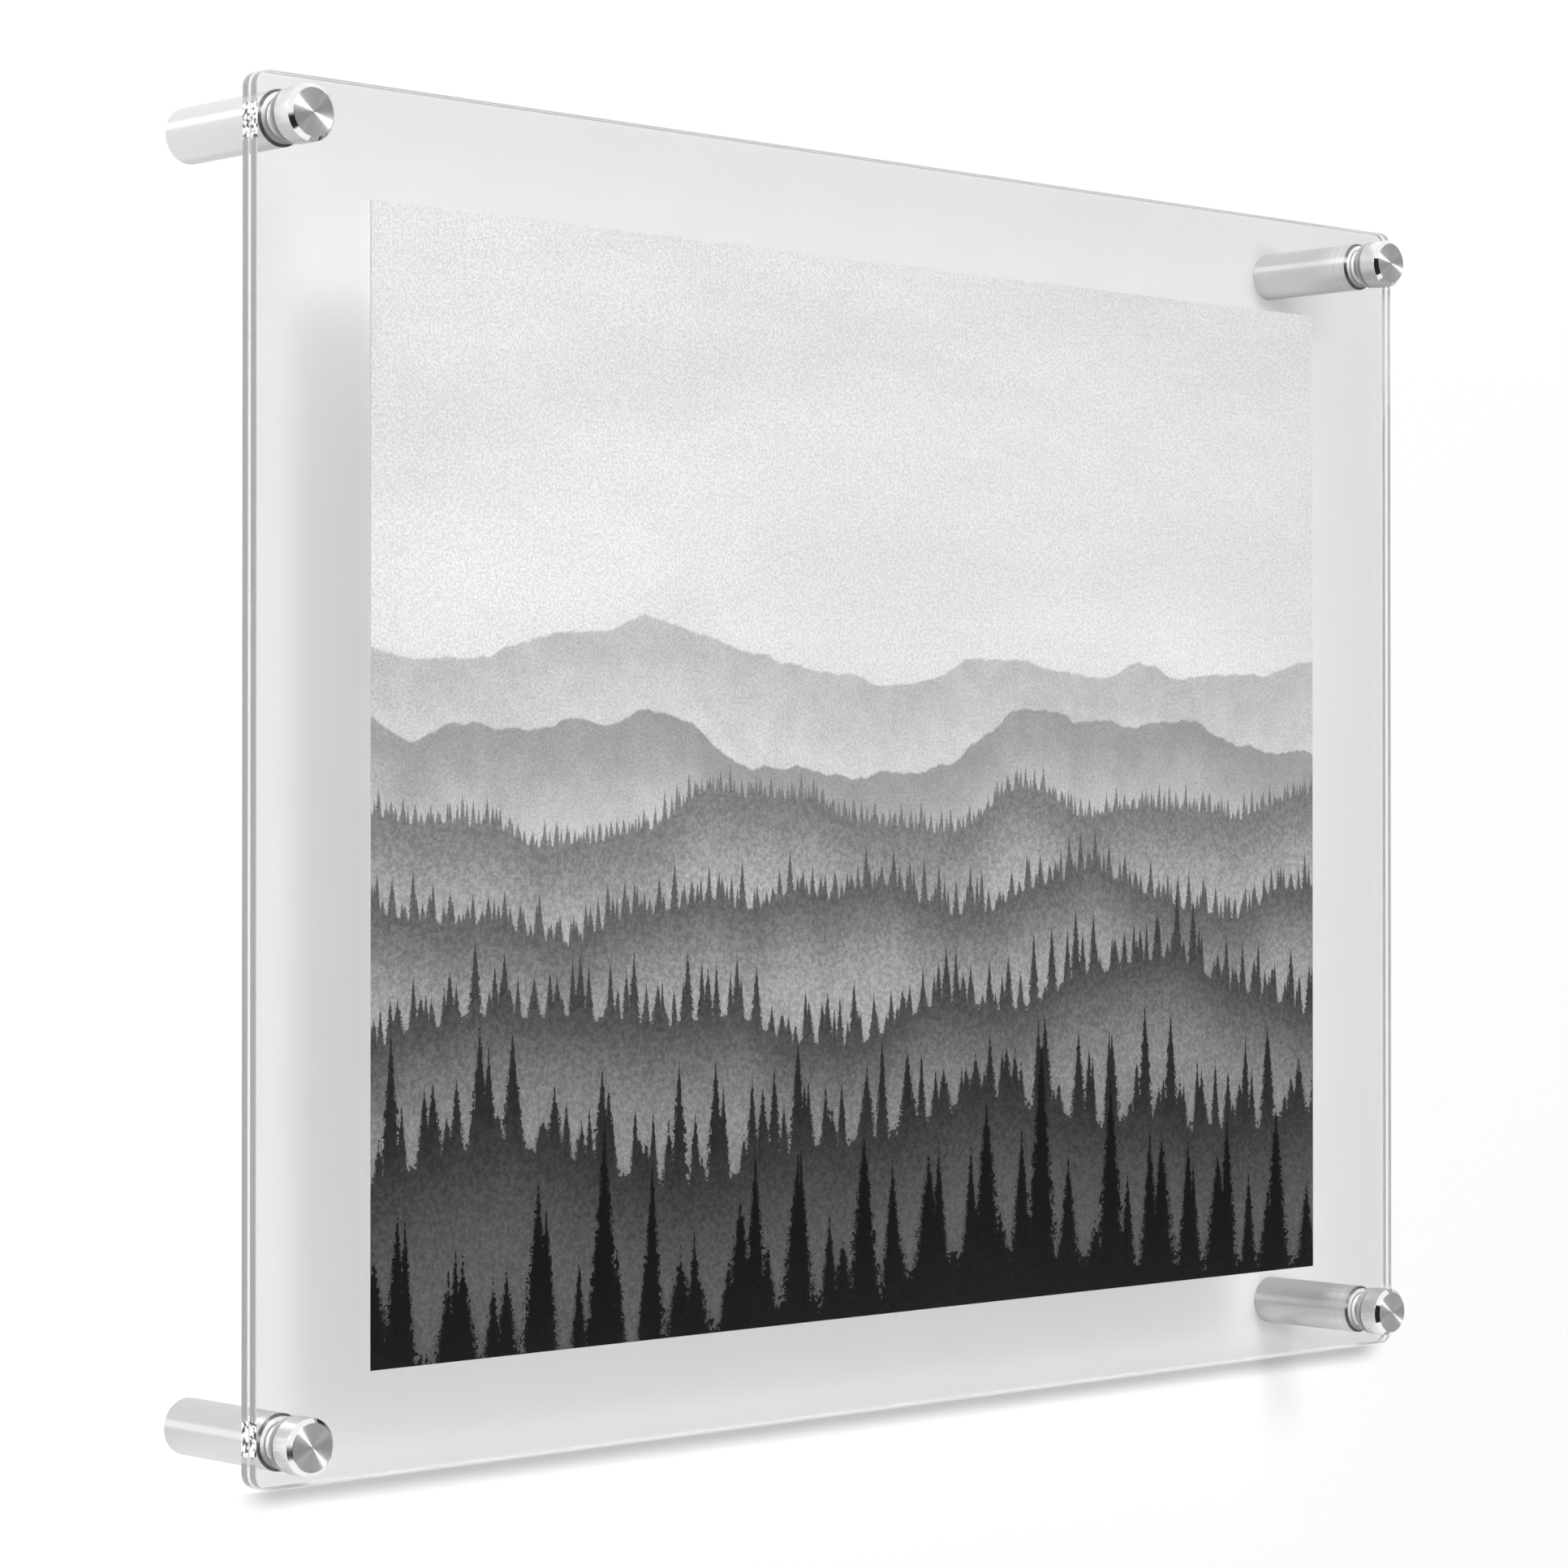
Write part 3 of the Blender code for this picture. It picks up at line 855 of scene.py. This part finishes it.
film = art.add("TexNoise", {"Vector": place, "Scale": FILM_GRAIN, "Detail": 1.0})
tone = art.times(tone, art.spread(film, 0.85 * PRINT_LEVEL, 1.13 * PRINT_LEVEL, 0.25))
print_sockets = {"Base Color": art.grey(tone), "Roughness": 0.5, "Specular IOR Level": 0.1}
printed_face = art.surface(art.add("BsdfPrincipled", print_sockets))
print("print drawn with", len(art.tree.nodes), "nodes")

# %% [markdown]
# The paper itself is a thin closed box, printed on the face and white behind and on its cut edge.
# Modelling it as a solid and not as a single plane keeps the drawing from showing through when the frame
# is seen from the back. A faint painted glow on its back stands in for the light that thin paper lets
# through.

# %% printed paper
PAPER_FIBRE = 2700.0
PAPER_PAINTED_GLOW = 0.20

paper_finish = Finish("paper_back")
fibre = paper_finish.noise(PAPER_FIBRE, 4.0)
paper_sockets = {
    "Base Color": paper_finish.grey(paper_finish.spread(fibre, 0.80, 0.86)),
    "Roughness": 0.6,
    "Emission Color": WHITE,
    # painted glow on the back, standing in for light passing through the paper
    "Emission Strength": PAPER_PAINTED_GLOW,
}
paper_back = paper_finish.surface(paper_finish.add("BsdfPrincipled", paper_sockets))
box_depths = (paper_low.y, paper_high.y)
box_heights = (paper_low.z, paper_high.z)
box_sides = (paper_low.x, paper_high.x)
box_points = [(x, y, z) for y in box_depths for z in box_heights for x in box_sides]
box_faces = [(0, 1, 3, 2), (4, 6, 7, 5), (0, 4, 5, 1), (2, 3, 7, 6), (0, 2, 6, 4), (1, 5, 7, 3)]
box_tags = [0, 1, 1, 1, 1, 1]
paper = make_piece("printed_paper", box_points, box_faces, [printed_face, paper_back], box_tags, [False] * 6)
fit_in(paper, "art_print", "art_print")
print("paper faces", len(paper.data.polygons))

# %% [markdown]
# Turned metal carries the marks of the tool, which run round the axis. Noise along v stands for them.
# The cap faces are spun: the tool left rings, and rings spread light outwards from the middle, which
# gives the hourglass of light and dark. A tangent taken from u tells the shader about it. The large
# chamfers are polished and mirror the room.

# %% turned metal
TOOL_SPIN = 0.25
MARK_DEPTH = 0.00002


def turned_metal(name, colour, rough, lines, stretch, ridge):
    """Metal with noise along v as tool marks, which change the roughness, the tone and the relief."""
    metal = Finish(name)
    along = metal.axis(metal.add("UVMap", uv_map="turning"), "Y")
    marks = metal.noise_line(along, lines, 3.0)
    tone = metal.grey(metal.spread(marks, 0.94, 1.0, 0.25))
    tint_sockets = {0: 1.0, 6: tone, 7: (*colour, 1.0)}
    tint = metal.add("Mix", tint_sockets, 2, data_type="RGBA", blend_type="MULTIPLY")
    sockets = {
        "Base Color": tint,
        "Metallic": 1.0,
        "Roughness": metal.spread(marks, *rough),
        "Anisotropic": stretch,
        "Anisotropic Rotation": TOOL_SPIN,
        "Normal": metal.add("Bump", {"Strength": ridge, "Distance": MARK_DEPTH, "Height": marks}),
        "Tangent": metal.add("Tangent", direction_type="UV_MAP", uv_map="turning"),
    }
    return metal.surface(metal.add("BsdfPrincipled", sockets))


polished = turned_metal("polished_metal", (0.92, 0.92, 0.92), (0.05, 0.09), 4000.0, stretch=0.2, ridge=0.05)
spun = turned_metal("spun_metal", (0.86, 0.86, 0.85), (0.32, 0.40), 12000.0, stretch=1.0, ridge=0.3)
bore_metal = turned_metal("bored_metal", (0.62, 0.62, 0.61), (0.30, 0.45), 7000.0, stretch=0.3, ridge=0.3)
bright_steel = turned_metal("bright_steel", (0.66, 0.66, 0.65), (0.20, 0.32), 8000.0, stretch=0.3, ridge=0.2)
zinc = turned_metal("zinc_plate", (0.70, 0.69, 0.65), (0.28, 0.42), 5000.0, stretch=0.2, ridge=0.2)
print("turned finishes", [metal.name for metal in (polished, spun, bore_metal, bright_steel, zinc)])

# %% [markdown]
# The barrels and cap sides are drawn metal, brushed along their length. Their tone carries painted light:
# a painted highlight streak on each side, painted shade on the underside and a darker painted bottom. The
# small chamfers at the neck are the same metal painted dark, a painted reflection, with a painted
# highlight streak. The barrel's front end is blasted matt, so that it grips the sheet.

# %% drawn metal with painted light
BRUSH_LINES = 420.0
SHADED_UNDER_END = -0.25
LIT_UPPER_START = 0.4
PAINTED_STREAK_HEIGHT = 0.22
PAINTED_STREAK_HALF = 0.20
PAINTED_STREAK_GAIN = 0.32
DARK_CHAMFER_STREAK_GAIN = 0.75
PAINTED_BOTTOM_START = -0.86
PAINTED_BOTTOM_SHADE = 0.75
BLAST_GRAIN = 6000.0


def drawn_metal_with_painted_light(name, under, upper, gain):
    """Metal brushed along its length, with a painted highlight streak on each side and painted shade
    underneath.

    The height round the tube is the sine of the turn u, so 1 is the top, 0 a side and -1 the bottom.
    """
    metal = Finish(name)
    turn = metal.axis(metal.add("UVMap", uv_map="turning"), "X")
    height = metal.math("SINE", metal.times(turn, 2 * pi))
    brush = metal.noise_line(turn, BRUSH_LINES, 3.0)
    # painted shade: the underside is darker than the top
    body = metal.ramp(height, SHADED_UNDER_END, LIT_UPPER_START, under, upper)
    from_painted_streak = metal.math("ABSOLUTE", metal.math("SUBTRACT", height, PAINTED_STREAK_HEIGHT))
    # painted highlight: a bright streak at one height round the tube
    body = metal.math("MULTIPLY_ADD", metal.ramp(from_painted_streak, PAINTED_STREAK_HALF, 0.0), gain, body)
    # painted shade: darker towards the bottom
    body = metal.times(body, metal.ramp(height, -1.0, PAINTED_BOTTOM_START, PAINTED_BOTTOM_SHADE, 1.0))
    tone = metal.math("MULTIPLY", body, metal.spread(brush, 0.965, 1.015), clamp=True)
    rough = metal.spread(brush, 0.26, 0.36)
    sockets = {"Base Color": metal.grey(tone), "Metallic": 1.0, "Roughness": rough}
    return metal.surface(metal.add("BsdfPrincipled", sockets))


# tones with painted highlight and painted shade; the neck chamfers are painted dark
satin_painted_light = drawn_metal_with_painted_light("satin_metal", 0.70, 0.78, PAINTED_STREAK_GAIN)
satin_cap_painted_light = drawn_metal_with_painted_light("satin_cap_painted_light_metal", 0.80, 0.96, PAINTED_STREAK_GAIN)
painted_dark_chamfer = drawn_metal_with_painted_light("painted_dark_chamfer_metal", 0.10, 0.16, DARK_CHAMFER_STREAK_GAIN)
seat_finish = Finish("matt_seat")
seat_tone = seat_finish.spread(seat_finish.noise(BLAST_GRAIN), 0.78, 0.86)
seat_sockets = {"Base Color": seat_finish.grey(seat_tone), "Metallic": 0.25, "Roughness": 0.6}
matt_seat = seat_finish.surface(seat_finish.add("BsdfPrincipled", seat_sockets))
print("drawn finishes", [metal.name for metal in (satin_painted_light, satin_cap_painted_light, painted_dark_chamfer, matt_seat)])

# %% [markdown]
# The caps are short drums with a polished chamfer at the front and a small one at the back, painted dark
# as a painted reflection. Their sides carry the painted highlight and shade of the drawn metal. The
# profile runs from the middle of the front face, out over the chamfer, down the side, in under the rim
# and up the blind bore that holds the stud.

# %% caps
CAP_RADIUS = 5.0
CAP_BORE = 3.3
CAP_FRONT_CHAMFER = 0.8
CAP_REAR_CHAMFER = 0.6
CAP_BORE_DEPTH = 2.85
EDGE_EASE = 0.06

# the cap sides and rear chamfer carry painted highlight, painted shade and painted dark
cap_finishes = [spun, polished, satin_cap_painted_light, bore_metal, painted_dark_chamfer]
for corner in CORNERS:
    low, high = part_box("cap_" + corner)
    front_y = low.y / MM
    rear_y = high.y / MM
    cap_corners = [
        (0.0, front_y),
        (CAP_RADIUS - CAP_FRONT_CHAMFER, front_y),
        (CAP_RADIUS, front_y + CAP_FRONT_CHAMFER),
        (CAP_RADIUS, rear_y - CAP_REAR_CHAMFER),
        (CAP_RADIUS - CAP_REAR_CHAMFER, rear_y),
        (CAP_BORE, rear_y),
        (CAP_BORE, rear_y - CAP_BORE_DEPTH),
        (0.0, rear_y - CAP_BORE_DEPTH),
    ]
    profile, rows = eased(cap_corners, EDGE_EASE, [0, 1, 2, 4, 2, 3, 3])
    name = "turned_cap_" + corner
    cap = turned(name, profile[:, 0], profile[:, 1], axis_of(corner), cap_finishes, rows)
    fit_in(cap, "cap_" + corner, "cap_" + corner)
print("each cap has", len(cap.data.polygons), "faces")

# %% [markdown]
# A thread is a profile that depends on the angle too: the radius at depth y and angle a is a ridge that
# repeats once per pitch along y, shifted by one pitch per turn. Near the ends the radius is held under a
# cone, so the thread fades out the way a die leaves it.

# %% studs
STUD_PITCH = 1.0
STUD_CREST = 3.0
STUD_ROOT = 2.45
STUD_CHAMFER = 0.6
STUD_ROWS = 16 * 12
FLANK_SLOPE = 1.6

turn_share = np.arange(ROUND_STEPS) / ROUND_STEPS


def ridge(depth, pitch):
    """0 at the root, 1 at the crest: a triangle wave of depth / pitch minus the turn, with flats on both."""
    phase = (depth[:, None] / pitch - turn_share) % 1.0
    return np.clip(0.5 + FLANK_SLOPE * (np.abs(2 * phase - 1) - 0.5), 0.0, 1.0)


for corner in CORNERS:
    low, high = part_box("stud_" + corner)
    depth = np.linspace(low.y / MM, high.y / MM, STUD_ROWS + 1)
    end_room = np.minimum(depth - depth[0], depth[-1] - depth)
    cone = np.minimum(STUD_CREST, STUD_CREST - STUD_CHAMFER + end_room)[:, None]
    radius = np.minimum(STUD_ROOT + (STUD_CREST - STUD_ROOT) * ridge(depth, STUD_PITCH), cone)
    radius = np.concatenate((np.zeros((1, ROUND_STEPS)), radius, np.zeros((1, ROUND_STEPS)))) * MM
    depth = np.concatenate((depth[:1], depth, depth[-1:])) * MM
    rows = np.zeros(len(depth) - 1, int)
    stud = turned("threaded_stud_" + corner, radius, depth, axis_of(corner), [bright_steel], rows)
    fit_in(stud, "cap_" + corner, "stud_" + corner)
print("each stud has", len(stud.data.polygons), "faces")

# %% [markdown]
# The barrels are tubes with a web near the wall. The profile is a closed ring: up the outside, over the
# front chamfer and the matt end, in to the threaded bore, back to the web and out through the screw
# hole. The inner thread is cut outwards from the bore, so the stud still passes with room to spare.

# %% barrels
BARREL_RADIUS = 5.0
BARREL_CHAMFER = 0.5
BARREL_FOOT_CHAMFER = 0.3
BARREL_CLOSE = 0.22
BORE_RADIUS = 3.2
BORE_MOUTH = 0.5
BORE_END = 9.5
BORE_STEP = 0.5
THREAD_START = 0.6
THREAD_END = 9.4
THREAD_CUT = 0.35
THREAD_ROWS = 8 * 10
HEAD_BORE = 3.1
SCREW_HOLE = 1.8
WEB = 3.0

# the sides carry painted highlight and shade, and the front chamfer is painted dark
barrel_finishes = [satin_painted_light, polished, bore_metal, matt_seat, painted_dark_chamfer]
for corner in CORNERS:
    low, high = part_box("barrel_" + corner)
    front_y = low.y / MM - BARREL_CLOSE
    outside = [
        (SCREW_HOLE, 0.0),
        (BARREL_RADIUS - BARREL_FOOT_CHAMFER, 0.0),
        (BARREL_RADIUS, -BARREL_FOOT_CHAMFER),
        (BARREL_RADIUS, front_y + BARREL_CHAMFER),
        (BARREL_RADIUS - BARREL_CHAMFER, front_y),
        (BORE_RADIUS + BORE_MOUTH, front_y),
        (BORE_RADIUS, front_y + BORE_MOUTH),
    ]
    outer, outer_rows = eased(outside, EDGE_EASE, [2, 1, 0, 4, 3, 2])
    inside = [
        (BORE_RADIUS, front_y + BORE_END),
        (HEAD_BORE, front_y + BORE_END + BORE_STEP),
        (HEAD_BORE, -WEB),
        (SCREW_HOLE, -WEB),
    ]
    inner, inner_rows = eased(inside, EDGE_EASE, [2, 2, 2])
    cut_depth = np.linspace(front_y + THREAD_START, front_y + THREAD_END, THREAD_ROWS + 1)
    cut = BORE_RADIUS + THREAD_CUT * ridge(cut_depth, STUD_PITCH)
    all_round = np.ones(ROUND_STEPS)
    radius = np.concatenate((outer[:, :1] * all_round, cut * MM, inner[:, :1] * all_round))
    depth = np.concatenate((outer[:, 1], cut_depth * MM, inner[:, 1]))
    rows = np.concatenate((outer_rows, np.full(THREAD_ROWS + 2, 2), inner_rows, [2]))
    name = "satin_painted_light_barrel_" + corner
    barrel = turned(name, radius, depth, axis_of(corner), barrel_finishes, rows, ring=True)
    fit_in(barrel, "wall_frame", "barrel_" + corner)
print("each barrel has", len(barrel.data.polygons), "faces")

# %% [markdown]
# The wall screws hide inside the barrels and reach into the wall. The head is domed with a cross recess,
# which is a dent whose depth depends on how close a point lies to one of two crossed lines. The shank
# carries a coarse thread that tapers to the point.

# %% wall screws
HEAD_RADIUS = 2.8
HEAD_HEIGHT = 2.2
HEAD_RIM = 0.1
HEAD_EASE = 0.05
CROWN = 0.8
FINE_REACH = 1.9
FINE_RINGS = 20
COARSE_START = 1.98
COARSE_RINGS = 9
RECESS_DEPTH = 1.1
RECESS_REACH = 1.7
RECESS_HALF = 0.32
SLOT_SOFT = 0.12
REACH_SOFT = 0.35
SHANK_CREST = 1.5
SHANK_ROOT = 1.05
SHANK_NECK = 0.1
SHANK_ROWS = 240
SCREW_PITCH = 1.3
POINT_LENGTH = 4.0

angle = 2 * pi * turn_share
for corner in CORNERS:
    low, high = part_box("wall_screw_" + corner)
    front_y = low.y / MM
    tip_y = high.y / MM
    seat_y = front_y + HEAD_HEIGHT
    fine_r = np.linspace(0, FINE_REACH, FINE_RINGS)
    crown_r = np.concatenate((fine_r, np.linspace(COARSE_START, HEAD_RADIUS, COARSE_RINGS)))
    crown_y = front_y + CROWN * (crown_r / HEAD_RADIUS) ** 2
    head_r = np.concatenate((crown_r, [HEAD_RADIUS, HEAD_RADIUS - HEAD_EASE, SHANK_CREST + SHANK_NECK]))
    head_y = np.concatenate((crown_y, [seat_y - HEAD_RIM, seat_y, seat_y]))
    spot_x = head_r[:, None] * np.cos(angle)
    spot_z = head_r[:, None] * np.sin(angle)
    off_line = np.minimum(np.abs(spot_x), np.abs(spot_z))
    in_slot = np.clip((RECESS_HALF - off_line) / SLOT_SOFT + 1, 0, 1)
    in_reach = np.clip((RECESS_REACH - head_r) / REACH_SOFT, 0, 1)[:, None]
    head_y = head_y[:, None] + RECESS_DEPTH * in_slot * in_reach
    shank_y = np.linspace(seat_y + HEAD_EASE, tip_y, SHANK_ROWS)
    left = np.clip((tip_y - shank_y) / POINT_LENGTH, 0, 1)[:, None]
    shank_r = (SHANK_ROOT + (SHANK_CREST - SHANK_ROOT) * ridge(shank_y, SCREW_PITCH) ** 2) * left
    radius = np.concatenate((head_r[:, None] * np.ones(ROUND_STEPS), shank_r)) * MM
    depth = np.concatenate((head_y, shank_y[:, None] * np.ones(ROUND_STEPS))) * MM
    rows = np.zeros(len(radius) - 1, int)
    screw = turned("threaded_screw_" + corner, radius, depth, axis_of(corner), [zinc], rows)
    fit_in(screw, "wall_frame", "wall_screw_" + corner)
print("each wall screw has", len(screw.data.polygons), "faces")

# %% [markdown]
# Thin clear washers keep the caps off the acrylic. Each is a flat ring with rounded rims, made as a
# closed profile, and it fills the narrow space between the metal and the sheet.

# %% washers
WASHER_FILL = 0.22
WASHER_HOLE = 3.4
WASHER_EASE = 0.12
WASHER_SEAM = 0.1
WASHER_CLEAR = 0.4
WASHER_SHARE = 0.8
MOULD_GRAIN = 3000.0

washer_finish = Finish("clear_washer")
washer_sockets = {
    "Base Color": (0.93, 0.94, 0.95, 1.0),
    "Roughness": washer_finish.spread(washer_finish.noise(MOULD_GRAIN), 0.12, 0.24),
    "IOR": ACRYLIC_INDEX,
    "Transmission Weight": WASHER_CLEAR,
}
washer_glass = washer_finish.add("BsdfPrincipled", washer_sockets)
clear_washer = washer_finish.surface(washer_finish.let_light_by(washer_glass, WASHER_SHARE))

for corner in CORNERS:
    low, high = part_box("washer_" + corner)
    near = low.y / MM - WASHER_FILL
    far = high.y / MM + WASHER_FILL
    rim = (high.x - low.x) / 2 / MM
    middle = (rim + WASHER_HOLE) / 2
    washer_corners = [
        (middle, near),
        (rim, near),
        (rim, far),
        (WASHER_HOLE, far),
        (WASHER_HOLE, near),
        (middle - WASHER_SEAM, near),
    ]
    profile, rows = eased(washer_corners, WASHER_EASE, [0, 0, 0, 0, 0])
    rows = np.append(rows, 0)
    name = "clear_washer_" + corner
    washer = turned(name, profile[:, 0], profile[:, 1], axis_of(corner), [clear_washer], rows, ring=True)
    fit_in(washer, "washer_" + corner, "washer_" + corner)
print("each washer has", len(washer.data.polygons), "faces")

# %% [markdown]
# Last, the size of the dressed frame is printed beside the size of the CAD.

# %% size and finish
low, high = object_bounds()
cad_size = [round(value / MM, 2) for value in cad_high - cad_low]
print("cad", cad_size, "visual", [round(value / MM, 2) for value in high - low], "mm")
